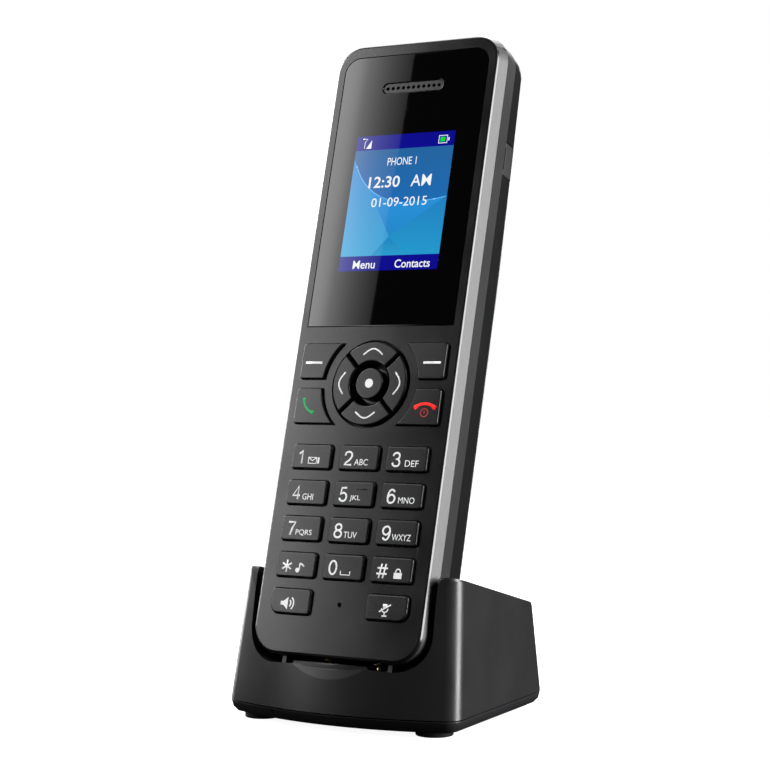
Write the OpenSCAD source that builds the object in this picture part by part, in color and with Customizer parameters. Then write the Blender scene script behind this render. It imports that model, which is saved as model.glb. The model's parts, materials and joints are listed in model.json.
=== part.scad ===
// Cordless phone standing in its charging cradle. Millimetres, +Z up, desk at z = 0.
// The handset is drawn upright in its own coordinates: x across, y from the front
// face (0) into the body, z up from its bottom end. in_handset() leans it into the cradle.

/* [Handset] */
// Length of the handset from bottom end to top end
handset_length = 168.5; // [158:0.5:205]
// Widest size of the handset across its sides
handset_width = 52.5; // [51:0.5:64]
// Thickness of the handset over its lower half
handset_depth = 21.5; // [20.5:0.1:26]
// How much thinner the handset is at its top end
top_thinning = 4; // [0:0.5:5]
// Corner radius of the handset seen from the front
corner_radius = 8.5; // [7.5:0.5:11]
// Radius that blends the sides into the back
back_radius = 9; // [5:0.5:10]
// How far the front face is set in from the widest line on each side
front_inset = 1.05; // [0.6:0.05:1.6]
// Depth at which the handset is widest, where the front casing ends
widest_depth = 3.7; // [3.2:0.1:4.2]
// Depth of the joint line between middle frame and rear cover
rear_joint_depth = 8.7; // [8:0.1:10]
// Wall thickness of the casings
casing_wall = 1.8; // [1.4:0.1:2.2]
// Thickness of the front plate
front_plate = 2; // [1.8:0.1:2.2]
// Height of the silver side strips above their channel floor
trim_thickness = 0.75; // [0.5:0.05:1]

/* [Window and display] */
// Distance from the glossy window's side edges to the widest line of the handset
window_side_gap = 3.75; // [3.6:0.05:6]
// Lower edge of the window above the handset's bottom end
window_bottom = 87.4; // [86.5:0.1:92]
// Gap between the window's upper edge and the handset's top end
window_top_gap = 4.5; // [4:0.5:8]
// Thickness of the window
window_thickness = 1; // [0.8:0.1:1.2]
// Width of the lit display area
display_width = 30.5; // [26:0.5:32]
// Height of the lit display area
display_height = 38.2; // [30:0.2:40]
// Gap between the lit display area and the handset's top end
display_top_gap = 27.6; // [26:0.1:28]

/* [Keys] */
// How far the keys stand out of the front face
key_proud = 0.9; // [0.5:0.1:1.2]
// How far a key moves when it is pressed
key_travel = 0.4; // [0.2:0.05:0.4]
// Gap round each key in the front casing
key_gap = 0.28; // [0.2:0.02:0.4]
// Width of a digit key
key_width = 12.1; // [10:0.1:12.3]
// Height of a digit key
key_height = 6.5; // [5:0.1:6.6]
// Space between neighbouring digit keys across
key_space_across = 2.4; // [2.1:0.05:2.8]
// Space between neighbouring digit rows
key_space_up = 3.05; // [2.6:0.05:3.1]
// Corner radius of a digit key
key_corner = 0.8; // [0.4:0.1:1.4]
// Middle of the lowest row, the speaker and mute keys
lowest_row = 13.65; // [13:0.05:14.5]
// Middle of the navigation ring above the handset's bottom end
nav_height = 71.7; // [71:0.1:72.5]
// Radius of the round opening for the navigation keys
nav_radius = 11.9; // [10.5:0.1:12.2]
// Radius of the centre key
nav_centre_radius = 4.2; // [3.5:0.1:4.6]

/* [Battery] */
// Diameter of one AAA cell
cell_diameter = 10.5; // [10:0.1:10.5]
// Length of one AAA cell without its button
cell_length = 44.5; // [40:0.5:44.5]
// Lower end of the battery tray above the handset's bottom end
tray_bottom = 30; // [29.5:0.5:32]
// Half width of the battery door
door_half_width = 16; // [15.5:0.1:16.4]
// Gap round the battery door
door_gap = 0.25; // [0.2:0.05:0.5]

/* [Cradle] */
// Depth of the cradle from front to back at its joint line
cradle_depth = 65.4; // [60:0.2:78]
// Width of each cradle arm beside the well, at the joint line
arm_width = 7.2; // [6:0.1:9]
// Height of the cradle's arms above the desk
arm_height = 40; // [36:0.1:48]
// Height of the joint line between upper shell and base plate
joint_height = 4.5; // [4.2:0.1:5.5]
// Distance from the cradle's front to the handset's front bottom edge
dock_setback = 4.4; // [4:0.1:8]
// Height of the handset's front bottom edge above the desk
dock_height = 18; // [17.5:0.1:21]
// Angle at which the handset leans back
lean = 15; // [12:0.5:17]
// Gap between the handset's sides and the well
well_gap = 1.15; // [0.8:0.05:2]
// Depth of the well's floor below the handset
well_floor_gap = 2.2; // [1.8:0.1:3]
// Wall thickness of the cradle
cradle_wall = 2; // [1.6:0.1:2.4]
// Radius of a rubber foot
foot_radius = 4.8; // [3.5:0.1:6]
// How far a foot stands out of the base plate
foot_height = 1.1; // [0.8:0.1:2]
// Distance of each charging contact from the middle
contact_offset = 7.5; // [6:0.1:9]
// Radius of the moving pin of a charging contact
pin_radius = 1; // [0.8:0.05:1.2]
// How far a charging pin can be pushed in
pin_travel = 0.8; // [0.5:0.1:1]

/* [Headset socket] */
// Distance of the socket's middle below the handset's top end
socket_top_gap = 32.8; // [29:0.1:42]
// Radius of the socket's bore
socket_radius = 1.8; // [1.3:0.05:1.8]

/* [Hidden] */

$fn = 48;
slice = 0.02;
through = 60;

// Handset, derived
half_width = handset_width / 2;
dock_y = -cradle_depth / 2 + dock_setback;
socket_height = handset_length - socket_top_gap;
rear_side_inset = 0.3;
back_side_inset = 0.6;
back_start = handset_depth - back_radius;
thinning_reach = 78.5;
thinning_start = handset_length - thinning_reach;
thinning_steps = 4;
back_steps = 6;
edge_inset = 0.7;
face_drop = 1;
edge_depth = 0.8;
strip_rise = 3;
front_of_back = handset_depth - casing_wall;

// Layers behind the front plate
flange_gap = 0.15;
flange_thickness = 0.5;
flange_rim = 0.55;
stem_foot = front_plate + flange_gap + flange_thickness + 0.1;
mat_front = stem_foot + key_travel + 0.05;
mat_thickness = 0.6;
plunger_height = 0.25;
dome_height = 0.25;
film_thickness = 0.15;
film_front = mat_front + mat_thickness + plunger_height + 0.05 + dome_height;
board_front = film_front + film_thickness;
board_thickness = 1.2;
board_back = board_front + board_thickness;
board_half_width = half_width - 5.25;
board_top = handset_length - 22.5;
board_step = 20;
board_foot = 8;
board_foot_half_width = board_half_width - 3;

// Window and display, derived
window_top = handset_length - window_top_gap;
window_half_width = half_width - window_side_gap;
window_fit = 0.1;
window_top_radius = 4.5;
display_middle = handset_length - display_top_gap - display_height / 2;
display_rim = 1;
module_rim = 2.8;
grille_height = handset_length - 14.1;
grille_half_length = 9.3;
grille_half_height = 1.35;
grille_pitch = 1.6;
grille_hole = 0.5;

// Keys, derived
soft_key_edge = half_width - 4.25;
soft_key_middle = nav_height + 6.05;
call_key_middle = nav_height - 6.15;
side_key_height = 9.5;
side_key_inner_radius = nav_radius + 2.7;
side_key_corner = 0.8;
key_column_pitch = key_width + key_space_across;
key_row_pitch = key_height + key_space_up;
nav_outer = nav_radius - 0.7;
nav_inner = nav_centre_radius + 1.8;
nav_split = 0.8;
low_corner = 2.4;

// Battery, derived
tray_half_width = door_half_width - 1.8;
spring_length = 3;
plate_thickness = 0.4;
button_length = 1;
tray_top = tray_bottom + 2 * plate_thickness + spring_length + cell_length + button_length + 0.1;
tray_wall = 3;
tray_floor_front = board_back + 1.4;
tray_floor = 1;
cell_middle_depth = front_of_back - 0.25 - cell_diameter / 2;
cell_spacing = cell_diameter / 2 + 0.15;
cell_foot = tray_bottom + plate_thickness + spring_length + 0.1;
door_bottom = tray_bottom - 1.4;
door_top = tray_top + 1.4;
hook_inner = 10.9;
hook_outer = 13.5;
hook_reach = 1.8;
hook_deep = 3.9;
hook_top = 2.5;

// Screws
boss_places = [[half_width - 5.25, 6.3], [half_width - 7.25, handset_length - 13]];
boss_radius = 2.6;
screw_radius = 1.1;
screw_fit = 0.05;
screw_head_radius = 2.2;
screw_head_height = 1.5;
screw_seat = rear_joint_depth + 1.8;
screw_point = front_plate + 1.2;

// Charging
pad_radius = 2.2;
pad_depth = rear_joint_depth + 2.9;
pad_recess = 0.15;
pin_clearance = 0.05;
barrel_radius = pin_radius + 0.6;
barrel_top = -well_floor_gap - cradle_wall + 0.9;
barrel_bottom = barrel_top - 5;
platform_half_width = 10.8;
platform_rise = 0.7;

// Cradle, derived
cradle_half_width = half_width + well_gap + arm_width;
front_lean = 9.5;
rear_lean = 7;
side_draft = 4;
side_taper = 4.6;
bow = 4.8;
bow_reach = 28;
bow_radius = (bow_reach * bow_reach + bow * bow) / (2 * bow);
front_corner = 4.5;
rear_corner = 6;
plan_lead = asin((cradle_half_width - front_corner) / (bow_radius - front_corner));
plan_side = atan2(side_taper, cradle_depth - rear_corner - bow_radius
                              + (bow_radius - front_corner) * cos(plan_lead));
top_slope = 12.4;
top_rear_radius = 5;
arm_edge = 1.6;
top_rounding = 1.4;
arm_front_y = dock_y + 6;
shell_foot = joint_height + 0.15;
base_top = joint_height - 0.15;
base_rounding = 3.2;
spigot_height = 1.6;
spigot_wall = 1.4;
spigot_gap = 0.35;
cradle_boss_radius = 3;
cradle_boss_places = [[16, dock_y + 9], [cradle_half_width - 12.1, dock_y + 41]];
cradle_screw_length = 7.5;
cradle_head_seat = foot_height + 1.9;
front_feet = [cradle_half_width - 8.6, dock_y + 7];
foot_places = [front_feet, [-front_feet[0], front_feet[1]], [0, dock_y + cradle_depth - 14]];
foot_recess = 0.6;
board_z = base_top + 3;
board_depth_size = 22;
board_width_size = 34;
board_y = cradle_depth / 2 - 9 - board_depth_size / 2;
inlet_width = 7.6;
inlet_height = 3;
inlet_length = 6;
inlet_z = board_z + board_thickness;

// Headset socket
socket_depth = rear_joint_depth + 2.9;
socket_length = 9;
socket_outer = 2.6;
cover_half_height = 4.4;
cover_front = rear_joint_depth + 0.2;
cover_width = 5.6;
cover_gap = 0.25;
socket_face = half_width - 2.4;

// Loudspeaker on the back of the board
speaker_height = handset_length - 50.5;

// ---------- shared shapes ----------

module in_handset() {
    translate([0, dock_y, dock_height]) rotate([-lean, 0, 0]) children();
}

// Extrudes a front-view outline from depth y0 to depth y1
module slab(y0, y1) {
    translate([0, y1, 0]) rotate([90, 0, 0]) linear_extrude(y1 - y0) children();
}

// Extrudes a section drawn across and into the body upwards from z0 to z1
module column(z0, z1) {
    translate([0, 0, z0]) linear_extrude(z1 - z0) children();
}

// A round pillar along the depth direction
module pillar(x, z, y0, y1, r) {
    translate([x, y0, z]) rotate([-90, 0, 0]) cylinder(h = y1 - y0, r = r);
}

module rounded_rect(w, h, r) {
    square([w - 2 * r, h], center = true);
    square([w, h - 2 * r], center = true);
    for (sx = [-1, 1], sy = [-1, 1])
        translate([sx * (w / 2 - r), sy * (h / 2 - r)]) circle(r);
}

module block(x0, x1, y0, y1, z0, z1) {
    translate([x0, y0, z0]) cube([x1 - x0, y1 - y0, z1 - z0]);
}

module both_sides() {
    children();
    mirror([1, 0, 0]) children();
}

// ---------- handset body ----------

module front_outline(inset) {
    translate([0, handset_length / 2])
        rounded_rect(handset_width - 2 * inset, handset_length - 2 * inset,
                     max(corner_radius - inset, 0.6), $fn = 32);
}

// Outline near the front face, which reaches closer to the bottom end than to the sides
module face_outline(inset) {
    low = min(face_drop, inset);
    translate([0, (handset_length - low) / 2])
        rounded_rect(handset_width - 2 * inset, handset_length - 2 * inset + low,
                     max(corner_radius - inset, 0.6), $fn = 32);
}

// Depth of a back slice at height z: the back thins towards the top end
function thinned(y, z) =
    let (rise = max(z - thinning_start, 0) / thinning_reach)
    y - top_thinning * rise * rise * (y - rear_joint_depth) / (handset_depth - rear_joint_depth);

module back_slice(y, inset) {
    top_start = handset_length - corner_radius;
    slab(y - slice, y) intersection() {
        front_outline(inset);
        translate([-half_width, 0]) square([handset_width, thinning_start]);
    }
    for (k = [1 : thinning_steps])
        let (z = thinning_start + (top_start - thinning_start) * k / thinning_steps)
            translate([0, thinned(y, z) - slice / 2, z])
                cube([handset_width - 2 * inset, slice, slice], center = true);
    slab(thinned(y, handset_length) - slice, thinned(y, handset_length)) intersection() {
        front_outline(inset);
        translate([-half_width, top_start]) square([handset_width, corner_radius]);
    }
}

// The front casing's solid, from the front face to the widest line
module front_block(inset, front) {
    hull() {
        slab(front, front + slice) face_outline(inset + front_inset + edge_inset);
        slab(front + 0.25, front + 0.25 + slice) face_outline(inset + front_inset + 0.25);
        slab(front + edge_depth, front + edge_depth + slice) face_outline(inset + front_inset);
        slab(widest_depth - slice, widest_depth) front_outline(inset);
    }
}

module middle_block(inset, extra) {
    hull() {
        slab(widest_depth - extra, widest_depth - extra + slice) front_outline(inset);
        slab(rear_joint_depth + extra - slice, rear_joint_depth + extra)
            front_outline(inset + rear_side_inset);
    }
}

// The rear cover's solid, grown inwards by inset on the sides and the back
module back_block(inset, extra) {
    hull() {
        slab(rear_joint_depth - extra, rear_joint_depth - extra + slice)
            front_outline(inset + rear_side_inset);
        for (k = [0 : back_steps])
            let (a = 90 * k / back_steps)
                back_slice(back_start - inset + back_radius * sin(a),
                           inset + back_side_inset + back_radius * (1 - cos(a)));
    }
}

// ---------- key outlines, seen from the front ----------

// A side key between its outer edge and the navigation ring
module side_key_outline(side, middle, gap) {
    difference() {
        translate([side * (soft_key_edge / 2 + 4), middle])
            rounded_rect(soft_key_edge - 8 + 2 * gap, side_key_height + 2 * gap, side_key_corner + gap);
        translate([0, nav_height]) circle(side_key_inner_radius - gap);
    }
}

// Outline of one of the four ring keys: the quarter of the ring about its own direction
module nav_quarter(turn) {
    translate([0, nav_height]) intersection() {
        difference() {
            circle(nav_outer);
            circle(nav_inner);
        }
        rotate(turn) translate([0, nav_split / sqrt(2)]) rotate(45) square(through);
    }
}

module digit_outline(column, row, gap) {
    translate([column * key_column_pitch, lowest_row + row * key_row_pitch])
        rounded_rect(key_width + 2 * gap, key_height + 2 * gap, key_corner + gap);
}

// A key of the lowest row, with a larger radius on its lower outer corner
module low_key_outline(side, gap) {
    w = key_width / 2 + gap;
    h = key_height / 2 + gap;
    r = low_corner + gap;
    translate([side * key_column_pitch, lowest_row]) difference() {
        rounded_rect(2 * w, 2 * h, key_corner + gap);
        translate([side * w, -h]) difference() {
            square(2 * r, center = true);
            translate([-side * r, r]) circle(r);
        }
    }
}

// A key cap: its top, its stem through the front plate and its flange behind the plate
module key_body() {
    slab(-key_proud, stem_foot) children(0);
    slab(front_plate + flange_gap, front_plate + flange_gap + flange_thickness) children(1);
}

module digit_key(column, row) {
    color("#2a2a2c") in_handset() key_body() {
        digit_outline(column, row, 0);
        digit_outline(column, row, flange_rim);
    }
}

module side_key(side, middle) {
    color("#2a2a2c") in_handset() key_body() {
        side_key_outline(side, middle, 0);
        side_key_outline(side, middle, flange_rim);
    }
}

module nav_key(turn) {
    color("#2a2a2c") in_handset() {
        slab(-key_proud, stem_foot) nav_quarter(turn);
        slab(front_plate + flange_gap, front_plate + flange_gap + flange_thickness)
            translate([0, nav_height]) intersection() {
                difference() {
                    circle(nav_radius + flange_rim);
                    circle(nav_outer - 0.3);
                }
                rotate(turn) translate([0, nav_split / sqrt(2)]) rotate(45) square(through);
            }
    }
}

module nav_centre() {
    color("#2a2a2c") in_handset() {
        pillar(0, nav_height, -key_proud, stem_foot, nav_centre_radius);
        pillar(0, nav_height, front_plate + flange_gap, front_plate + flange_gap + flange_thickness,
               nav_centre_radius + flange_rim);
    }
}

module low_key(side) {
    color("#2a2a2c") in_handset() key_body() {
        low_key_outline(side, 0);
        low_key_outline(side, flange_rim);
    }
}

// ---------- handset parts ----------

// Band that the silver strips fill, seen from the side: depth across, height up
module trim_band(depth0, depth1) {
    top = handset_length - corner_radius + strip_rise;
    middle = (depth0 + depth1) / 2;
    rotate([90, 0, 90]) linear_extrude(through, center = true) {
        translate([depth0, -1]) square([depth1 - depth0, top + 1]);
        translate([middle, top]) circle((depth1 - depth0) / 2);
    }
}

module trim_zone(side, fit) {
    trim_end = 14;
    intersection() {
        trim_band(edge_depth - fit, widest_depth);
        block(side > 0 ? trim_end - fit : -through, side > 0 ? through : -trim_end + fit,
              -1, through, -1, handset_length);
    }
}

module side_trim(side) {
    color("#b4b4b4") in_handset() intersection() {
        difference() {
            front_block(0, 0);
            front_block(trim_thickness, -slice);
        }
        trim_zone(side, 0);
    }
}

module window_outline(fit) {
    h = window_top - window_bottom;
    w = window_half_width + fit;
    r = window_top_radius + fit;
    translate([-w, window_bottom - fit]) square([2 * w, h + 2 * fit - r]);
    translate([-w + r, window_top + fit - r]) square([2 * (w - r), r]);
    for (s = [-1, 1])
        translate([s * (w - r), window_top + fit - r]) circle(r);
}

module grille_outline(fit) {
    translate([0, grille_height])
        rounded_rect(2 * (grille_half_length + fit), 2 * (grille_half_height + fit),
                     grille_half_height + fit - 0.01);
}

module key_openings() {
    for (row = [1 : 4], column = [-1 : 1])
        digit_outline(column, row, key_gap);
    for (side = [-1, 1]) {
        low_key_outline(side, key_gap);
        side_key_outline(side, soft_key_middle, key_gap);
        side_key_outline(side, call_key_middle, key_gap);
    }
    translate([0, nav_height]) circle(nav_radius);
}

module front_casing() {
    mic_hole = 0.6;
    color("#232325") in_handset() {
        difference() {
            front_block(0, 0);
            slab(front_plate, through) front_outline(front_inset + casing_wall);
            slab(-1, window_thickness + 0.05) window_outline(window_fit);
            slab(-1, through) translate([0, display_middle])
                square([display_width + 2 * display_rim + 0.6, display_height + 2 * display_rim + 0.6],
                       center = true);
            slab(-1, through) grille_outline(0.1);
            slab(-1, front_plate + 1) key_openings();
            pillar(0, lowest_row, -1, front_plate + 1, mic_hole);
            for (side = [-1, 1]) difference() {
                trim_zone(side, 0.05);
                front_block(trim_thickness + 0.05, -slice);
            }
        }
        both_sides() for (p = boss_places) difference() {
            pillar(p[0], p[1], front_plate - 0.2, rear_joint_depth - 0.05, boss_radius);
            pillar(p[0], p[1], screw_point - 0.4, through, screw_radius + screw_fit);
        }
    }
}

module mid_frame() {
    rib = 1.2;
    color("#2b2b2d") in_handset() difference() {
        union() {
            difference() {
                middle_block(0, 0);
                slab(0, through) front_outline(casing_wall + front_inset);
            }
            // Stops that hold the board against the front casing
            both_sides() for (z = [34, board_top - 54, board_top - 32])
                block(board_half_width - 0.6, half_width - 1.5,
                      board_back + 0.1, board_back + 0.1 + rib, z, z + 5);
        }
        both_sides() for (p = boss_places)
            pillar(p[0], p[1], 0, through, boss_radius + 0.1);
    }
}

// Opening in the side wall for the rubber cover of the headset socket
module headset_opening(fit) {
    block(half_width - 3.8, through, cover_front - fit, cover_front + cover_width + fit,
          socket_height - cover_half_height - fit, socket_height + cover_half_height + fit);
}

module rear_cover() {
    slot_width = 1.3;
    slot_length = 12;
    vents = 5;
    vent_pitch = 2.9;
    notch_radius = 6;
    notch_deep = 0.7;
    color("#262628") in_handset() difference() {
        union() {
            difference() {
                back_block(0, 0);
                back_block(casing_wall, 1);
            }
            // Battery tray
            intersection() {
                block(-tray_half_width - tray_wall, tray_half_width + tray_wall,
                      tray_floor_front, handset_depth, tray_bottom - tray_wall, tray_top + tray_wall);
                block(-through, through, 0, front_of_back + 0.2, 0, handset_length);
            }
            // Screw bosses
            both_sides() for (p = boss_places) intersection() {
                pillar(p[0], p[1], rear_joint_depth, through, boss_radius + 0.6);
                back_block(0.4, 0);
            }
        }
        block(-tray_half_width, tray_half_width, tray_floor_front + tray_floor, through,
              tray_bottom, tray_top);
        // Door opening, down to the ledge that the door rests on
        block(-door_half_width - door_gap, door_half_width + door_gap, front_of_back - 0.1, through,
              door_bottom - door_gap, door_top + door_gap);
        both_sides() {
            block(hook_inner - 0.4, hook_outer + 0.4, handset_depth - hook_deep - 0.7, front_of_back,
                  door_bottom - hook_reach - 0.6, tray_bottom + 0.5);
        }
        // Finger notch above the door
        pillar(0, door_top + 2, handset_depth - notch_deep, through, notch_radius);
        both_sides() for (p = boss_places) {
            pillar(p[0], p[1], 0, through, screw_radius + 0.2);
            pillar(p[0], p[1], screw_seat, through, screw_head_radius + 0.25);
        }
        for (k = [0 : vents - 1])
            translate([0, handset_depth, speaker_height + (k - (vents - 1) / 2) * vent_pitch])
                cube([slot_length, 12, slot_width], center = true);
        both_sides() translate([contact_offset, pad_depth, -1])
            cylinder(h = casing_wall + 3, r = pad_radius + 0.05);
        headset_opening(cover_gap);
    }
}

module battery_door() {
    grip_lines = 4;
    color("#28282a") in_handset() {
        difference() {
            block(-door_half_width, door_half_width, front_of_back, handset_depth, door_bottom, door_top);
            for (k = [0 : grip_lines - 1])
                block(-6, 6, handset_depth - 0.4, through, door_top - 8 + k * 1.8, door_top - 7.3 + k * 1.8);
        }
        both_sides() {
            block(hook_inner, hook_outer, handset_depth - hook_deep, handset_depth - hook_top,
                  door_bottom - hook_reach, door_bottom + 1.2);
            block(hook_inner, hook_outer, handset_depth - hook_deep, front_of_back + 0.2,
                  door_bottom + 0.1, door_bottom + 1.2);
        }
    }
}

module window_lens() {
    color("#08080a") in_handset() difference() {
        slab(0, window_thickness) window_outline(0);
        slab(-1, through) grille_outline(0.1);
    }
}

module display_module() {
    back_of_module = board_front - 0.15;
    color("#2a90d8") in_handset() {
        slab(window_thickness + 0.1, front_plate + 0.2) translate([0, display_middle])
            square([display_width + 2 * display_rim, display_height + 2 * display_rim], center = true);
        slab(front_plate + 0.1, back_of_module) translate([0, display_middle])
            square([display_width + 2 * module_rim, display_height + 2 * module_rim], center = true);
    }
}

module earpiece_grille() {
    holes = 11;
    color("#4a4a4c") in_handset() slab(0.3, front_plate) difference() {
        grille_outline(0);
        for (k = [0 : holes - 1])
            translate([(k - (holes - 1) / 2) * grille_pitch, grille_height]) circle(grille_hole, $fn = 24);
    }
}

module earpiece_speaker() {
    color("#77777a") in_handset() difference() {
        slab(front_plate + 0.15, front_plate + 3) translate([0, grille_height - 0.6]) rounded_rect(20, 10, 2);
        slab(0, front_plate + 0.6) translate([0, grille_height - 0.6]) rounded_rect(17, 7, 1.5);
    }
}

module loudspeaker() {
    front = 14.6;
    color("#5c5c60") in_handset() {
        difference() {
            pillar(0, speaker_height, front, front + 4, 10);
            pillar(0, speaker_height, front + 3.2, through, 8.6);
        }
        pillar(0, speaker_height, front - 1.6, front + 0.1, 6);
        pillar(0, speaker_height, front + 3.1, front + 3.7, 3.4);
    }
}

module microphone() {
    color("#9a9a9c") in_handset() pillar(0, lowest_row, front_plate + 0.2, board_front, 2);
}

module main_board() {
    color("#1f6b3a") in_handset() {
        slab(board_front, board_back) difference() {
            union() {
                translate([-board_half_width, board_step])
                    square([2 * board_half_width, board_top - board_step]);
                translate([-board_foot_half_width, board_foot])
                    square([2 * board_foot_half_width, board_step - board_foot + 1]);
            }
            translate([board_half_width - 4.6, socket_height - 4.4]) square([10, 8.8]);
        }
        // Radio shield, processor and connector on the back of the board
        block(-14, 10, board_back - 0.05, board_back + 2.2, board_top - 24, board_top - 6);
        block(-15, -5, board_back - 0.05, board_back + 1, board_top - 46, board_top - 36);
        block(2, 16, board_back - 0.05, board_back + 1, board_top - 54, board_top - 47);
    }
}

module keypad_mat() {
    plunger_radius = 1.5;
    mat_top = soft_key_middle + side_key_height / 2 + 0.8;
    mat_bottom = lowest_row - key_height / 2 - 0.8;
    color("#1a1a1c") in_handset() {
        slab(mat_front, mat_front + mat_thickness) difference() {
            translate([-soft_key_edge - 0.4, mat_bottom])
                square([2 * soft_key_edge + 0.8, mat_top - mat_bottom]);
            translate([0, lowest_row]) circle(3.2);
        }
        key_centres() pillar(0, 0, mat_front + mat_thickness - 0.05,
                             mat_front + mat_thickness + plunger_height, plunger_radius);
    }
}

// Places its child under the middle of each key
module key_centres() {
    for (row = [1 : 4], column = [-1 : 1])
        translate([column * key_column_pitch, 0, lowest_row + row * key_row_pitch]) children();
    for (side = [-1, 1]) {
        translate([side * key_column_pitch, 0, lowest_row]) children();
        translate([side * (soft_key_edge - 4), 0, soft_key_middle]) children();
        translate([side * (soft_key_edge - 4), 0, call_key_middle]) children();
    }
    for (a = [0 : 90 : 270])
        translate([8.6 * sin(a), 0, nav_height + 8.6 * cos(a)]) children();
    translate([0, 0, nav_height]) children();
}

module dome_sheet() {
    dome_radius = 2.1;
    color("#c9c9c2") in_handset() {
        slab(film_front, board_front)
            translate([-board_half_width, board_step]) square([2 * board_half_width, 64]);
        for (side = [-1, 1])
            slab(film_front, board_front) translate([side * key_column_pitch, board_step - 4])
                square([5.4, 10], center = true);
        key_centres() pillar(0, 0, film_front - dome_height, film_front + 0.05, dome_radius);
    }
}

module battery_cells() {
    color("#3c7a4a") in_handset() for (s = [-1, 1])
        translate([s * cell_spacing, cell_middle_depth, 0]) {
            foot = s > 0 ? cell_foot : tray_top - plate_thickness - spring_length - 0.1 - cell_length;
            translate([0, 0, foot]) cylinder(h = cell_length, r = cell_diameter / 2);
            translate([0, 0, s > 0 ? foot + cell_length - 0.05 : foot - button_length + 0.1])
                cylinder(h = button_length - 0.05, r = 2.6);
        }
}

// One turn ring of a conical spring: a small polygon of wire at angle a
function wire_ring(k, rings, turns, foot_radius, head_radius, height, wire) =
    let (t = k / rings, a = 360 * turns * t, r = foot_radius + (head_radius - foot_radius) * t)
    [for (s = [0 : 60 : 300])
        [(r + wire * cos(s)) * cos(a), (r + wire * cos(s)) * sin(a),
         wire + (height - 2 * wire) * t + wire * sin(s)]];

module cell_spring(height, wire) {
    turns = 4;
    rings = 48;
    points = [for (k = [0 : rings]) each wire_ring(k, rings, turns, 3.4, 2, height, wire)];
    sides = [for (k = [0 : rings - 1], s = [0 : 5])
        [k * 6 + s, k * 6 + (s + 1) % 6, (k + 1) * 6 + (s + 1) % 6, (k + 1) * 6 + s]];
    ends = [[5, 4, 3, 2, 1, 0], [for (s = [0 : 5]) rings * 6 + s]];
    polyhedron(points, concat([ends[0]], sides, [ends[1]]), convexity = 6);
}

module battery_contacts() {
    wire = 0.25;
    color("#cfcfc8") in_handset() for (s = [-1, 1]) {
        for (end = [tray_bottom, tray_top - plate_thickness])
            block(s * cell_spacing - 4.4, s * cell_spacing + 4.4,
                  cell_middle_depth - 4.2, cell_middle_depth + 4.2,
                  end + 0.02, end + plate_thickness - 0.02);
        seat = s > 0 ? tray_bottom + plate_thickness : tray_top - plate_thickness;
        translate([s * cell_spacing, cell_middle_depth, seat])
            rotate([0, s > 0 ? 0 : 180, 0]) cell_spring(spring_length, wire);
    }
}

module charging_pads() {
    color("#d8c070") in_handset() both_sides()
        translate([contact_offset, pad_depth, pad_recess]) {
            cylinder(h = casing_wall + 0.4, r = pad_radius);
            translate([0, 0, casing_wall + 0.3]) cylinder(h = 1.2, r = 1);
        }
}

module headset_socket() {
    color("#3a3a3c") in_handset() difference() {
        union() {
            translate([socket_face, socket_depth, socket_height]) rotate([0, -90, 0])
                cylinder(h = socket_length, r = socket_outer);
            block(socket_face - socket_length - 1, socket_face - 2.4, board_back + 0.1, socket_depth + 2.8,
                  socket_height - 3.2, socket_height + 3.2);
        }
        translate([through, socket_depth, socket_height]) rotate([0, -90, 0])
            cylinder(h = through - socket_face + socket_length, r = socket_radius);
    }
}

module headset_cover() {
    grip = 0.5;
    color("#1d1d1f") in_handset() {
        difference() {
            intersection() {
                block(half_width - 1.6, through, cover_front, cover_front + cover_width,
                      socket_height - cover_half_height, socket_height + cover_half_height);
                back_block(0, 1);
            }
            // Fingernail groove along the front edge
            block(half_width - 1.1, through, cover_front - 1, cover_front + grip,
                  socket_height - 3, socket_height + 3);
        }
    }
}

module casing_screws() {
    color("#9a9aa0") in_handset() both_sides() for (p = boss_places) {
        pillar(p[0], p[1], screw_point, screw_seat + 0.05, screw_radius);
        difference() {
            pillar(p[0], p[1], screw_seat, screw_seat + screw_head_height, screw_head_radius);
            for (a = [0, 90])
                translate([p[0], screw_seat + screw_head_height, p[1]]) rotate([0, a, 0])
                    cube([2.6, 1.4, 0.6], center = true);
        }
    }
}

// ---------- cradle ----------

function cradle_front(z) = -cradle_depth / 2 + (z - joint_height) * tan(front_lean);
function cradle_rear(z) = cradle_depth / 2 - (z - joint_height) * tan(rear_lean);
function cradle_side(z) = cradle_half_width - (z - joint_height) * tan(side_draft);

function arc(x, y, r, start, end, steps) =
    [for (k = [0 : steps]) let (a = start + (end - start) * k / steps) [x + r * cos(a), y + r * sin(a)]];

function mirrored(points) = [for (k = [len(points) - 1 : -1 : 0]) [-points[k][0], points[k][1]]];

// Plan of the cradle at height z, drawn in by inset: bowed front, round corners, straight rear
module cradle_plan(z, inset) {
    w = cradle_side(z) - inset;
    f = cradle_front(z) + inset;
    b = cradle_rear(z) - inset;
    r1 = max(front_corner - inset, 0.8);
    r2 = max(rear_corner - inset, 0.8);
    bow_r = r1 + (w - r1) / sin(plan_lead);
    front_y = f + bow_r - (bow_r - r1) * cos(plan_lead);
    rear_w = w - tan(plan_side) * (b - r2 - front_y);
    half = concat(
        arc(0, f + bow_r, bow_r, -90 + plan_lead / 20, -90 + plan_lead, 19),
        arc(w - r1, front_y, r1, -90 + plan_lead, plan_side, 12),
        arc(rear_w - r2, b - r2, r2, plan_side, 90, 10));
    polygon(concat([[0, f]], half, mirrored(half)));
}

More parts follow.
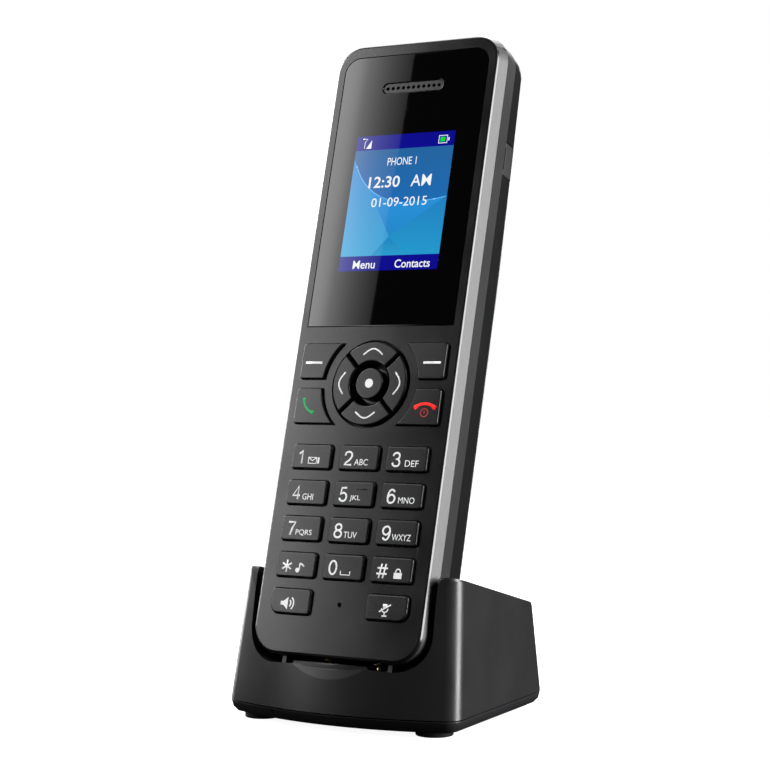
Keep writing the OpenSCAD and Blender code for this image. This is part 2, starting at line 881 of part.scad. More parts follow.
// Side view of the cradle: the top slopes down from the arms to the rear
module cradle_profile(inset) {
    rear_y = cradle_rear(arm_height - 13) - top_rear_radius;
    rear_z = arm_height - (rear_y - arm_front_y) * tan(top_slope) - top_rear_radius / cos(top_slope);
    reach = cradle_depth / 2 + 8;
    r1 = max(arm_edge - inset, 0.2);
    polygon(concat(
        [[-reach, -10], [reach, -10]],
        arc(rear_y, rear_z, top_rear_radius - inset, rear_lean, 90 - top_slope, 12),
        arc(arm_front_y + arm_edge, arm_height - arm_edge - (inset - arm_edge + r1),
            r1, 90 - top_slope, 170, 8)));
}

module cradle_solid(inset, foot) {
    intersection() {
        hull() {
            translate([0, 0, foot]) linear_extrude(slice) cradle_plan(foot, inset);
            translate([0, 0, arm_height + 2]) linear_extrude(slice) cradle_plan(arm_height + 2, inset);
        }
        rotate([90, 0, 90]) linear_extrude(4 * through, center = true) cradle_profile(inset);
    }
}

// The cradle's outer solid, with its top edges rounded
module cradle_outer() {
    hull() for (a = [0, 30, 60, 90]) intersection() {
        cradle_solid(top_rounding * (1 - cos(a)), shell_foot);
        rotate([90, 0, 90]) linear_extrude(4 * through, center = true)
            cradle_profile(top_rounding * (1 - sin(a)));
    }
}

// The well that the handset stands in, grown by grow on every wall
module well(grow, floor_z, open_front) {
    w = half_width + well_gap + grow;
    d = handset_depth + well_gap + grow;
    r = corner_radius + well_gap + grow;
    rb = back_radius + well_gap + grow;
    front = open_front ? -through / 2 : 0;
    intersection() {
        slab(front, d) union() {
            translate([-w + r, floor_z]) square([2 * (w - r), r + 1]);
            translate([-w, floor_z + r]) square([2 * w, through]);
            for (s = [-1, 1])
                translate([s * (w - r), floor_z + r]) circle(r);
        }
        column(floor_z - 1, floor_z + 2 * through) union() {
            translate([-w, front]) square([2 * w, d - rb - front]);
            translate([-w + rb, front]) square([2 * (w - rb), d - front]);
            for (s = [-1, 1])
                translate([s * (w - rb), d - rb]) circle(rb);
        }
    }
}

module cradle_shell() {
    rest_rib = 1.2;
    rest_top = -0.2;
    color("#2c2c2e") difference() {
        union() {
            difference() {
                cradle_outer();
                difference() {
                    cradle_solid(cradle_wall, shell_foot - 1);
                    in_handset() well(cradle_wall, -well_floor_gap - cradle_wall, true);
                    both_sides() for (p = cradle_boss_places)
                        translate([p[0], p[1], 0]) cylinder(h = arm_height, r = cradle_boss_radius);
                }
                in_handset() well(0, -well_floor_gap, true);
            }
            // Raised middle of the well's floor and the two ribs that the handset rests on
            intersection() {
                in_handset() block(-platform_half_width, platform_half_width, -5, handset_depth + 2,
                                   -well_floor_gap - 0.5, -well_floor_gap + platform_rise);
                cradle_solid(0.1, shell_foot);
            }
            in_handset() for (s = [-1, 1])
                block(s * 16 - rest_rib / 2, s * 16 + rest_rib / 2, 2.5, handset_depth - 7,
                      -well_floor_gap - 0.5, rest_top);
        }
        in_handset() both_sides() {
            translate([contact_offset, pad_depth, -through])
                cylinder(h = through + barrel_top + 0.05, r = barrel_radius + 0.05);
            translate([contact_offset, pad_depth, -through])
                cylinder(h = 2 * through, r = pin_radius + 0.15);
        }
        both_sides() for (p = cradle_boss_places)
            translate([p[0], p[1], 0])
                cylinder(h = cradle_head_seat + cradle_screw_length + 0.4, r = screw_radius + screw_fit);
        // Window for the power inlet in the rear wall
        translate([0, cradle_depth / 2, inlet_z + inlet_height / 2])
            cube([inlet_width + 1.2, 20, inlet_height + 1.2], center = true);
    }
}

module cradle_base() {
    color("#202022") difference() {
        union() {
            hull() for (k = [0 : 3])
                let (a = 30 * k)
                    translate([0, 0, foot_height + base_rounding * (1 - cos(a))])
                        linear_extrude(slice) cradle_plan(joint_height, 0.1 + base_rounding * (1 - sin(a)));
            translate([0, 0, foot_height + base_rounding - 0.2])
                linear_extrude(base_top - foot_height - base_rounding + 0.2) cradle_plan(joint_height, 0.1);
            translate([0, 0, base_top - 0.1]) linear_extrude(spigot_height) difference() {
                cradle_plan(joint_height, cradle_wall + spigot_gap);
                cradle_plan(joint_height, cradle_wall + spigot_gap + spigot_wall);
                both_sides() for (p = cradle_boss_places)
                    translate(p) circle(cradle_boss_radius + 0.3);
                translate([-inlet_width, cradle_depth / 2 - 12]) square([2 * inlet_width, 12]);
            }
            // Posts under the circuit board
            for (sx = [-1, 1], sy = [-1, 1])
                translate([sx * 14, board_y + sy * 8, base_top - 0.1])
                    cylinder(h = board_z - base_top + 0.1, r = 1.6);
        }
        for (p = foot_places)
            translate([p[0], p[1], -1]) cylinder(h = 1 + foot_height + foot_recess, r = foot_radius + 0.1);
        both_sides() for (p = cradle_boss_places) translate([p[0], p[1], 0]) {
            cylinder(h = through, r = screw_radius + 0.2);
            cylinder(h = cradle_head_seat, r = screw_head_radius + 0.2);
        }
    }
}

module cradle_feet() {
    color("#141415") for (p = foot_places)
        translate([p[0], p[1], 0]) cylinder(h = foot_height + foot_recess - 0.02, r = foot_radius);
}

module cradle_board() {
    color("#1f6b3a") {
        translate([0, board_y, board_z + board_thickness / 2])
            cube([board_width_size, board_depth_size, board_thickness], center = true);
        translate([9, board_y - 2, board_z + board_thickness + 0.9]) cube([5, 4, 2], center = true);
        for (x = [-11, -7])
            translate([x, board_y - 4, board_z + board_thickness - 0.1])
                cylinder(h = 3.6, r = 1.6);
    }
}

module power_inlet() {
    wall = 0.5;
    tongue = 0.7;
    front = board_y + board_depth_size / 2 - 3;
    color("#b9b9bd") translate([0, front, inlet_z + inlet_height / 2 + 0.02]) {
        difference() {
            translate([0, inlet_length / 2, 0])
                cube([inlet_width, inlet_length, inlet_height], center = true);
            translate([0, inlet_length / 2 + 1, 0])
                cube([inlet_width - 2 * wall, inlet_length, inlet_height - 2 * wall], center = true);
        }
        translate([0, inlet_length / 2 - 0.5, 0]) cube([4.6, inlet_length - 1.5, tongue], center = true);
    }
}

module cradle_screws() {
    seat = cradle_head_seat;
    color("#9a9aa0") both_sides() for (p = cradle_boss_places) translate([p[0], p[1], 0]) {
        translate([0, 0, seat - 0.05]) cylinder(h = cradle_screw_length, r = screw_radius);
        difference() {
            translate([0, 0, seat - screw_head_height])
                cylinder(h = screw_head_height, r = screw_head_radius);
            for (a = [0, 90])
                rotate(a) translate([0, 0, seat - screw_head_height]) cube([2.6, 0.6, 1.4], center = true);
        }
    }
}

module contact_barrels() {
    color("#c8b060") in_handset() both_sides()
        translate([contact_offset, pad_depth, barrel_bottom]) difference() {
            cylinder(h = barrel_top - barrel_bottom, r = barrel_radius);
            translate([0, 0, 0.8]) cylinder(h = through, r = pin_radius + 0.1);
        }
}

// A lead from each barrel's solder tag to the underside of the board
module contact_leads() {
    wire = 0.5;
    tag = 2;
    start_y = dock_y + pad_depth * cos(lean) + (barrel_bottom - tag + wire) * sin(lean);
    start_z = dock_height - pad_depth * sin(lean) + (barrel_bottom - tag + wire) * cos(lean);
    end_y = board_y - board_depth_size / 2 + 1.5;
    end_z = board_z - wire - 0.02;
    rise = atan2(end_z - start_z, end_y - start_y);
    color("#a02020") both_sides() {
        translate([contact_offset, start_y, start_z]) rotate([rise - 90, 0, 0])
            cylinder(h = norm([end_y - start_y, end_z - start_z]), r = wire);
        in_handset() translate([contact_offset, pad_depth, barrel_bottom - tag])
            cylinder(h = tag, r = wire - 0.1);
    }
}

module charge_pin(side) {
    top = pad_recess - pin_clearance;
    color("#e0c878") in_handset() translate([side * contact_offset, pad_depth, 0]) {
        translate([0, 0, barrel_bottom + 0.8 + pin_travel + 0.2])
            cylinder(h = top - barrel_bottom - 0.8 - pin_travel - 0.2 - 0.3, r = pin_radius);
        translate([0, 0, top - 0.35]) cylinder(h = 0.35, r1 = pin_radius, r2 = pin_radius - 0.3);
    }
}

// ---------- placed parts ----------

cradle_shell();
cradle_base();
cradle_feet();
cradle_board();
power_inlet();
cradle_screws();
contact_barrels();
contact_leads();
charge_pin(-1);  // charge_pin_left
charge_pin(1);  // charge_pin_right
front_casing();
mid_frame();
rear_cover();
battery_door();
side_trim(-1);  // side_trim_left
side_trim(1);  // side_trim_right
window_lens();
display_module();
earpiece_grille();
earpiece_speaker();
loudspeaker();
microphone();
main_board();
keypad_mat();
dome_sheet();
battery_cells();
battery_contacts();
charging_pads();
headset_socket();
headset_cover();
casing_screws();
side_key(-1, soft_key_middle);  // soft_key_left
side_key(1, soft_key_middle);  // soft_key_right
side_key(-1, call_key_middle);  // call_key
side_key(1, call_key_middle);  // end_key
nav_key(0);  // nav_up
nav_key(90);  // nav_left
nav_key(180);  // nav_down
nav_key(270);  // nav_right
nav_centre();
digit_key(-1, 4);  // key_1
digit_key(0, 4);  // key_2
digit_key(1, 4);  // key_3
digit_key(-1, 3);  // key_4
digit_key(0, 3);  // key_5
digit_key(1, 3);  // key_6
digit_key(-1, 2);  // key_7
digit_key(0, 2);  // key_8
digit_key(1, 2);  // key_9
digit_key(-1, 1);  // key_star
digit_key(0, 1);  // key_0
digit_key(1, 1);  // key_hash
low_key(-1);  // speaker_key
low_key(1);  // mute_key
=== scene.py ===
import bpy
import bmesh
import json
import math
from mathutils import Matrix, Vector


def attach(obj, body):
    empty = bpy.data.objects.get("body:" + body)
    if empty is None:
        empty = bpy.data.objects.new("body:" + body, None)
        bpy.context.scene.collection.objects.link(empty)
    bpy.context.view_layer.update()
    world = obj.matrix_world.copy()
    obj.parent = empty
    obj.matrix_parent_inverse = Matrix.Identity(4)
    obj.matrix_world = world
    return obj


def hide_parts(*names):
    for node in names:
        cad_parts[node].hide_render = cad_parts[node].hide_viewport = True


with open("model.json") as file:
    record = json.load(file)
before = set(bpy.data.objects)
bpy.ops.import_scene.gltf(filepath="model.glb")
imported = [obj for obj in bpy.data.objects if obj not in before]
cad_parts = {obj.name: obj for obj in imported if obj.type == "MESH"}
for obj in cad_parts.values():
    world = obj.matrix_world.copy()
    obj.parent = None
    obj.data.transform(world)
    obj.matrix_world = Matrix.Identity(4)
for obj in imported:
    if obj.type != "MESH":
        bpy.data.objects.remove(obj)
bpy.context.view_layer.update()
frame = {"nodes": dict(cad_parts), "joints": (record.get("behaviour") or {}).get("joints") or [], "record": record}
nodes = frame["nodes"]
record = frame["record"]
print("frame loaded:", len(nodes), "nodes")

mm = 0.001
scene = bpy.context.scene
scene.view_settings.view_transform = "Standard"

# which body and which finish every node belongs to
bodyOf = {n: body for body, members in record["behaviour"]["bodies"].items() for n in members}
slotOf = {part["node"]: part["material_slot"] for part in record["subparts"]}


# the handset's own directions: x across, y into the body, z up its length

def nodePoints(name):
    return [v.co.copy() for v in nodes[name].data.vertices]


liftAxis = Vector(next(j["axis"] for j in frame["joints"] if j["name"] == "handset_lift"))
lean = math.atan2(liftAxis.y, liftAxis.z)
turnOnly = Matrix.Rotation(-lean, 4, "X")
casingPoints = [turnOnly.inverted() @ p for p in nodePoints("front_casing")]
dockPoint = turnOnly @ Vector((0, min(p.y for p in casingPoints), min(p.z for p in casingPoints)))
handsetTurn = Matrix.Translation(dockPoint) @ turnOnly


def handsetBox(name):
    inside = handsetTurn.inverted()
    points = [inside @ p for p in nodePoints(name)]
    low = Vector((min(p[k] for p in points) for k in range(3)))
    high = Vector((max(p[k] for p in points) for k in range(3)))
    return low, high


# finishes

def startMaterial(name):
    mat = bpy.data.materials.new(name)
    mat.use_nodes = True
    tree = mat.node_tree
    return mat, tree, tree.nodes["Principled BSDF"]


def objectCoords(tree, scale=(1, 1, 1), turn=0.0):
    coords = tree.nodes.new("ShaderNodeTexCoord")
    mapping = tree.nodes.new("ShaderNodeMapping")
    mapping.inputs["Scale"].default_value = scale
    mapping.inputs["Rotation"].default_value = (turn, 0, 0)
    tree.links.new(coords.outputs["Object"], mapping.inputs["Vector"])
    return mapping.outputs["Vector"]


def noise(tree, vector, scale, detail=3.0, rough=0.55):
    node = tree.nodes.new("ShaderNodeTexNoise")
    node.inputs["Scale"].default_value = scale
    node.inputs["Detail"].default_value = detail
    node.inputs["Roughness"].default_value = rough
    tree.links.new(vector, node.inputs["Vector"])
    return node.outputs["Fac"]


def spread(tree, value, low, high):
    node = tree.nodes.new("ShaderNodeMapRange")
    node.inputs["From Min"].default_value = 0.3
    node.inputs["From Max"].default_value = 0.7
    node.inputs["To Min"].default_value = low
    node.inputs["To Max"].default_value = high
    tree.links.new(value, node.inputs["Value"])
    return node.outputs["Result"]


def tint(tree, value, dark, light):
    node = tree.nodes.new("ShaderNodeMix")
    node.data_type = "RGBA"
    node.inputs["A"].default_value = (*dark, 1)
    node.inputs["B"].default_value = (*light, 1)
    tree.links.new(value, node.inputs["Factor"])
    return node.outputs["Result"]


def bump(tree, shader, height, depth, strength=1.0, before=None):
    node = tree.nodes.new("ShaderNodeBump")
    node.inputs["Strength"].default_value = strength
    node.inputs["Distance"].default_value = depth
    tree.links.new(height, node.inputs["Height"])
    if before is not None:
        tree.links.new(before, node.inputs["Normal"])
    tree.links.new(node.outputs["Normal"], shader.inputs["Normal"])
    return node.outputs["Normal"]


def mouldedPlastic(name, look):
    mat, tree, shader = startMaterial(name)
    coords = objectCoords(tree)
    fine = noise(tree, coords, look["grainScale"], 2.0, 0.6)
    broad = noise(tree, coords, 60, 4.0)
    tree.links.new(tint(tree, broad, look["dark"], look["light"]), shader.inputs["Base Color"])
    tree.links.new(spread(tree, broad, look["rough"] - 0.04, look["rough"] + 0.04),
            shader.inputs["Roughness"])
    shader.inputs["Specular IOR Level"].default_value = look["specular"]
    shader.inputs["Coat Weight"].default_value = look.get("coat", 0.0)
    shader.inputs["Coat Roughness"].default_value = look.get("coatRough", 0.3)
    bump(tree, shader, fine, look["grainDepth"], look.get("grainStrength", 0.5))
    return mat


plasticLooks = {
    "casing": {"dark": (0.008, 0.008, 0.0085), "light": (0.011, 0.011, 0.0115), "rough": 0.23,
               "specular": 0.45, "grainScale": 3200, "grainDepth": 0.00002},
    "frame": {"dark": (0.024, 0.024, 0.025), "light": (0.030, 0.030, 0.031), "rough": 0.38,
              "specular": 0.5, "grainScale": 3200, "grainDepth": 0.00002},
    "keys": {"dark": (0.010, 0.010, 0.0105), "light": (0.013, 0.013, 0.0135), "rough": 0.28,
             "specular": 0.45, "grainScale": 4200, "grainDepth": 0.00001},
    "mat": {"dark": (0.012, 0.012, 0.012), "light": (0.018, 0.018, 0.018), "rough": 0.6,
            "specular": 0.4, "grainScale": 2600, "grainDepth": 0.00001},
    "grille": {"dark": (0.020, 0.020, 0.020), "light": (0.028, 0.028, 0.028), "rough": 0.4,
               "specular": 0.5, "grainScale": 3000, "grainDepth": 0.00001},
    "socket": {"dark": (0.03, 0.03, 0.03), "light": (0.04, 0.04, 0.04), "rough": 0.35,
               "specular": 0.5, "grainScale": 2000, "grainDepth": 0.00001},
    "cradle": {"dark": (0.014, 0.014, 0.0145), "light": (0.018, 0.018, 0.0185), "rough": 0.36,
               "specular": 0.5, "grainScale": 3000, "grainDepth": 0.000015},
    "cradle_underside": {"dark": (0.014, 0.014, 0.015), "light": (0.018, 0.018, 0.019), "rough": 0.45,
                         "specular": 0.5, "grainScale": 2600, "grainDepth": 0.00002},
    "foot": {"dark": (0.008, 0.008, 0.008), "light": (0.013, 0.013, 0.013), "rough": 0.7,
             "specular": 0.3, "grainScale": 1800, "grainDepth": 0.00003},
    "lead": {"dark": (0.30, 0.02, 0.02), "light": (0.42, 0.03, 0.03), "rough": 0.4,
             "specular": 0.5, "grainScale": 900, "grainDepth": 0.00001},
    "film": {"dark": (0.62, 0.62, 0.58), "light": (0.72, 0.72, 0.68), "rough": 0.25,
             "specular": 0.5, "grainScale": 500, "grainDepth": 0.00001},
}


def satinMetal(name, look):
    mat, tree, shader = startMaterial(name)
    coords = objectCoords(tree, look.get("stretch", (1, 1, 1)), lean)
    streaks = noise(tree, coords, look["grainScale"], 3.0)
    tree.links.new(tint(tree, streaks, look["dark"], look["light"]), shader.inputs["Base Color"])
    tree.links.new(spread(tree, streaks, look["rough"] - 0.05, look["rough"] + 0.05),
            shader.inputs["Roughness"])
    shader.inputs["Metallic"].default_value = look["metallic"]
    bump(tree, shader, streaks, look["grainDepth"], 0.4)
    return mat


metalLooks = {
    "trim": {"dark": (0.052, 0.052, 0.052), "light": (0.066, 0.066, 0.066), "rough": 0.48, "metallic": 0.3,
             "grainScale": 2600, "grainDepth": 0.000008},
    "steel": {"dark": (0.50, 0.50, 0.51), "light": (0.62, 0.62, 0.63), "rough": 0.28, "metallic": 1.0,
              "grainScale": 900, "grainDepth": 0.00001, "stretch": (1, 1, 0.2)},
    "gold": {"dark": (0.78, 0.58, 0.28), "light": (0.90, 0.72, 0.40), "rough": 0.24, "metallic": 1.0,
             "grainScale": 1200, "grainDepth": 0.00001},
    "capsule": {"dark": (0.30, 0.30, 0.31), "light": (0.38, 0.38, 0.39), "rough": 0.35, "metallic": 0.8,
                "grainScale": 1500, "grainDepth": 0.00001},
}


def glossWindow(name):
    mat, tree, shader = startMaterial(name)
    coords = objectCoords(tree)
    haze = noise(tree, coords, 220, 3.0)
    shader.inputs["Base Color"].default_value = (0.002, 0.002, 0.0022, 1)
    tree.links.new(spread(tree, haze, 0.015, 0.035), shader.inputs["Roughness"])
    shader.inputs["Specular IOR Level"].default_value = 0.5
    bump(tree, shader, haze, 0.000002, 0.2)
    return mat


def circuitBoard(name):
    mat, tree, shader = startMaterial(name)
    coords = objectCoords(tree, (1, 1, 1), lean)
    bricks = tree.nodes.new("ShaderNodeTexBrick")
    bricks.inputs["Scale"].default_value = 260
    bricks.inputs["Color1"].default_value = (0.02, 0.16, 0.06, 1)
    bricks.inputs["Color2"].default_value = (0.025, 0.20, 0.075, 1)
    bricks.inputs["Mortar"].default_value = (0.07, 0.33, 0.12, 1)
    bricks.inputs["Mortar Size"].default_value = 0.03
    tree.links.new(coords, bricks.inputs["Vector"])
    tree.links.new(bricks.outputs["Color"], shader.inputs["Base Color"])
    grain = noise(tree, coords, 800)
    tree.links.new(spread(tree, grain, 0.22, 0.4), shader.inputs["Roughness"])
    bump(tree, shader, bricks.outputs["Fac"], 0.00002, 0.4)
    return mat


def cellSleeve(name):
    mat, tree, shader = startMaterial(name)
    coords = objectCoords(tree, (1, 1, 1), lean)
    wave = tree.nodes.new("ShaderNodeTexWave")
    wave.bands_direction = "Z"
    wave.inputs["Scale"].default_value = 18
    wave.inputs["Distortion"].default_value = 0.0
    tree.links.new(coords, wave.inputs["Vector"])
    tree.links.new(tint(tree, wave.outputs["Fac"], (0.05, 0.28, 0.10), (0.10, 0.38, 0.16)),
                   shader.inputs["Base Color"])
    grain = noise(tree, coords, 900)
    tree.links.new(spread(tree, grain, 0.25, 0.35), shader.inputs["Roughness"])
    shader.inputs["Metallic"].default_value = 0.5
    bump(tree, shader, grain, 0.00001, 0.3)
    return mat


def glowingLayer(name, bottom, top, span, strength=1.0):
    # a lit layer of the display, its colour running up the handset from bottom to top
    mat, tree, shader = startMaterial(name)
    coords = objectCoords(tree, (1, 1, 1), lean)
    split = tree.nodes.new("ShaderNodeSeparateXYZ")
    tree.links.new(coords, split.inputs["Vector"])
    ramp = tree.nodes.new("ShaderNodeMapRange")
    ramp.inputs["From Min"].default_value = span[0]
    ramp.inputs["From Max"].default_value = span[1]
    tree.links.new(split.outputs["Z"], ramp.inputs["Value"])
    glow = tint(tree, ramp.outputs["Result"], bottom, top)
    haze = noise(tree, coords, 220, 3.0)
    shader.inputs["Base Color"].default_value = (0.002, 0.002, 0.002, 1)
    tree.links.new(spread(tree, haze, 0.015, 0.035), shader.inputs["Roughness"])
    tree.links.new(glow, shader.inputs["Emission Color"])
    shader.inputs["Emission Strength"].default_value = strength
    return mat


def evenGlow(name, colour, strength=1.0):
    # a lit layer of one colour
    mat, tree, shader = startMaterial(name)
    haze = noise(tree, objectCoords(tree), 220, 3.0)
    shader.inputs["Base Color"].default_value = (0.002, 0.002, 0.002, 1)
    tree.links.new(spread(tree, haze, 0.015, 0.035), shader.inputs["Roughness"])
    shader.inputs["Emission Color"].default_value = (*colour, 1)
    shader.inputs["Emission Strength"].default_value = strength
    return mat


def inkWithPaintedGlow(name, colour, rough=0.4, glow=0.0):
    mat, tree, shader = startMaterial(name)
    coords = objectCoords(tree)
    patch = noise(tree, coords, 1500, 2.0)
    dark = tuple(0.93 * c for c in colour)
    tree.links.new(tint(tree, patch, dark, colour), shader.inputs["Base Color"])
    tree.links.new(spread(tree, patch, rough - 0.05, rough + 0.05), shader.inputs["Roughness"])
    # the ink also glows by glow: a painted brightness that no lamp gives, on top of the printed colour
    shader.inputs["Emission Color"].default_value = (*colour, 1)
    shader.inputs["Emission Strength"].default_value = glow
    bump(tree, shader, patch, 0.000004, 0.3)
    return mat


def hexColour(text):
    parts = [int(text[k:k + 2], 16) / 255 for k in (0, 2, 4)]
    return tuple(c / 12.92 if c <= 0.04045 else ((c + 0.055) / 1.055) ** 2.4 for c in parts)


finishes = {slot: mouldedPlastic(slot + "Plastic", look) for slot, look in plasticLooks.items()}
finishes.update({slot: satinMetal(slot + "Metal", look) for slot, look in metalLooks.items()})
finishes["lens"] = glossWindow("lensGloss")
finishes["display"] = glossWindow("displayGloss")
finishes["board"] = circuitBoard("boardMask")
finishes["cells"] = cellSleeve("cellSleeve")
# legend inks: printed colour, roughness, and a painted glow that keeps the print bright
legendWhite = inkWithPaintedGlow("legendWhite", (0.80, 0.80, 0.80), 0.45, 0.62)
legendGreen = inkWithPaintedGlow("legendGreen", hexColour("00a651"), 0.45, 0.55)
legendRed = inkWithPaintedGlow("legendRed", hexColour("ff1208"), 0.45, 0.75)
legendDarkRed = inkWithPaintedGlow("legendDarkRed", hexColour("a81414"), 0.45, 0.6)
print("finishes made:", len(bpy.data.materials))


# making pieces

def linked(name, mesh):
    obj = bpy.data.objects.new(name, mesh)
    scene.collection.objects.link(obj)
    return obj


def smoothShade(mesh, angle):
    for face in mesh.polygons:
        face.use_smooth = True
    mesh.set_sharp_from_angle(angle=math.radians(angle))


def weighNormals(obj):
    modifier = obj.modifiers.new("weighNormals", "WEIGHTED_NORMAL")
    modifier.keep_sharp = True


def meldedMesh(name, flatness=0.3):
    # the node's triangles merged, with faces flat to within flatness degrees in one piece
    bm = bmesh.new()
    bm.from_mesh(nodes[name].data)
    bmesh.ops.remove_doubles(bm, verts=bm.verts[:], dist=0.002 * mm)
    bmesh.ops.dissolve_limit(bm, angle_limit=math.radians(flatness), verts=bm.verts[:], edges=bm.edges[:])
    return bm


def roundEdges(bm, width, segments, picked):
    edges = [e for e in bm.edges if len(e.link_faces) == 2 and e.calc_face_angle(0) > math.radians(28) and picked(e)]
    if edges:
        bmesh.ops.bevel(bm, geom=edges, offset=width * mm, offset_type="OFFSET", affect="EDGES",
                        segments=segments, profile=0.5, material=-1, clamp_overlap=True)
    return len(edges)


def finishNode(name, look):
    bm = meldedMesh(name, look.get("flatness", 0.3))
    count = 0
    if look.get("edge"):
        inside = handsetTurn.inverted()
        band = look.get("band")

        def picked(edge):
            if band is None:
                return True
            ends = [(inside @ v.co)[band[0]] / mm for v in edge.verts]
            return all(band[1] <= e <= band[2] for e in ends)

        count = roundEdges(bm, look["edge"], look.get("segments", 2), picked)
    mesh = bpy.data.meshes.new(name + "_finish")
    bm.to_mesh(mesh)
    bm.free()
    mesh.materials.clear()
    mesh.materials.append(finishes[slotOf[name]])
    smoothShade(mesh, look.get("angle", 32))
    for face in mesh.polygons:
        if look.get("flatFront") and face.normal.y < -0.9:      # long slivers there would streak if smoothed
            face.use_smooth = False
    obj = linked(name + "_finish", mesh)
    weighNormals(obj)
    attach(obj, bodyOf[name])
    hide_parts(name)
    print("finished", name, "edges rounded:", count)
    return obj


# edge: rounding in mm; band: handset direction and range in mm where edges are rounded
outerLooks = {
    "front_casing": {"edge": 0.14, "band": (1, -0.1, 0.05), "segments": 2, "angle": 40},
    "mid_frame": {"angle": 40},
    "rear_cover": {"angle": 40},
    "battery_door": {"edge": 0.3, "band": (1, 21.2, 22), "segments": 3, "angle": 35},
    "side_trim_left": {"angle": 50},
    "side_trim_right": {"angle": 50},
    "window_lens": {"edge": 0.22, "band": (1, -0.1, 0.05), "segments": 3, "angle": 30},
    "earpiece_grille": {"edge": 0.1, "band": (1, 0.2, 0.4), "segments": 2, "angle": 35},
    "headset_cover": {"edge": 0.15, "band": (0, 24.8, 30), "segments": 2, "angle": 35},
    "casing_screws": {"angle": 30},
    "cradle_shell": {"angle": 24, "flatFront": True},
    "cradle_base": {"angle": 24},
    "cradle_feet": {"edge": 0.4, "segments": 3, "angle": 35},
    "cradle_screws": {"angle": 30},
    "charge_pin_left": {"angle": 35},
    "charge_pin_right": {"angle": 35},
    "charging_pads": {"angle": 35},
    "power_inlet": {"edge": 0.12, "segments": 2, "angle": 35},
}
keyTop = {"edge": 0.42, "band": (1, -2, -0.6), "segments": 4, "angle": 50}
keyNames = [n for n in nodes if slotOf[n] == "keys"]

for name, look in outerLooks.items():
    finishNode(name, look)
for name in keyNames:
    finishNode(name, keyTop)

# the pieces inside keep their own meshes and get their finishes
for name, obj in nodes.items():
    if name in outerLooks or name in keyNames:
        continue
    if not obj.material_slots:
        obj.data.materials.append(finishes[slotOf[name]])
    for holder in obj.material_slots:
        holder.material = finishes[slotOf[name]]
print("nodes finished")


# flat prints, drawn in mm about a middle point on the handset's front

def curveMesh(curve):
    temp = linked("temp", curve)
    bpy.context.view_layer.update()
    mesh = bpy.data.meshes.new_from_object(temp.evaluated_get(bpy.context.evaluated_depsgraph_get()))
    bpy.data.objects.remove(temp)
    bpy.data.curves.remove(curve)
    return mesh


def wordMesh(word, box, weight=0.0):
    # a word stretched to fill a box: left, right, foot and head in mm
    curve = bpy.data.curves.new("word", "FONT")
    curve.body = word
    curve.size = 10
    curve.offset = weight
    curve.extrude = 0.5
    curve.resolution_u = 4
    mesh = curveMesh(curve)
    xs = [v.co.x for v in mesh.vertices]
    ys = [v.co.y for v in mesh.vertices]
    left, right, foot, head = box
    wide = (right - left) / (max(xs) - min(xs))
    tall = (head - foot) / (max(ys) - min(ys))
    for v in mesh.vertices:
        v.co = (left + (v.co.x - min(xs)) * wide, foot + (v.co.y - min(ys)) * tall, v.co.z)
    return mesh


def strokeMesh(points, width, closed=False):
    curve = bpy.data.curves.new("stroke", "CURVE")
    curve.dimensions = "3D"
    curve.bevel_depth = width / 2
    curve.bevel_resolution = 2
    curve.use_fill_caps = True
    spline = curve.splines.new("POLY")
    spline.points.add(len(points) - 1)
    for spot, (x, y) in zip(spline.points, points):
        spot.co = (x, y, 0, 1)
    spline.use_cyclic_u = closed
    return curveMesh(curve)


def patchMesh(points):
    curve = bpy.data.curves.new("patch", "CURVE")
    curve.dimensions = "2D"
    curve.fill_mode = "BOTH"
    curve.extrude = 0.5
    spline = curve.splines.new("POLY")
    spline.points.add(len(points) - 1)
    for spot, (x, y) in zip(spline.points, points):
        spot.co = (x, y, 0, 1)
    spline.use_cyclic_u = True
    return curveMesh(curve)


def roundPoints(x, y, r, start=0, end=360, steps=24):
    return [(x + r * math.cos(math.radians(start + (end - start) * k / steps)),
             y + r * math.sin(math.radians(start + (end - start) * k / steps)))
            for k in range(steps + (0 if abs(end - start) == 360 else 1))]


def drawMark(mark):
    kind = mark[0]
    if kind == "word":
        return wordMesh(mark[1], mark[2], mark[3] if len(mark) > 3 else 0.0)
    if kind == "line":
        return strokeMesh(mark[1], mark[2])
    if kind == "loop":
        return strokeMesh(mark[1], mark[2], True)
    if kind == "patch":
        return patchMesh(mark[1])
    return patchMesh(roundPoints(*mark[1], mark[2]))


def printPiece(name, marks, middle, front, material, body, thick=0.03):
    # marks lie on the plane y = front; they stand out of it by half their thickness
    whole = bmesh.new()
    for mark in marks:
        mesh = drawMark(mark)
        part = bmesh.new()
        part.from_mesh(mesh)
        bmesh.ops.remove_doubles(part, verts=part.verts[:], dist=0.0005)
        span = max(v.co.z for v in part.verts) - min(v.co.z for v in part.verts)
        bmesh.ops.scale(part, vec=(1, 1, thick / span), verts=part.verts[:])
        bmesh.ops.recalc_face_normals(part, faces=part.faces[:])
        piece = bpy.data.meshes.new("part")
        part.to_mesh(piece)
        part.free()
        whole.from_mesh(piece)
        bpy.data.meshes.remove(piece)
        bpy.data.meshes.remove(mesh)
    place = handsetTurn @ Matrix.Scale(mm, 4) @ Matrix.Translation((middle[0], front, middle[1]))
    bmesh.ops.transform(whole, matrix=place @ Matrix.Rotation(math.radians(90), 4, "X"), verts=whole.verts[:])
    mesh = bpy.data.meshes.new(name)
    whole.to_mesh(mesh)
    whole.free()
    mesh.materials.append(material)
    obj = linked(name, mesh)
    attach(obj, body)
    return obj


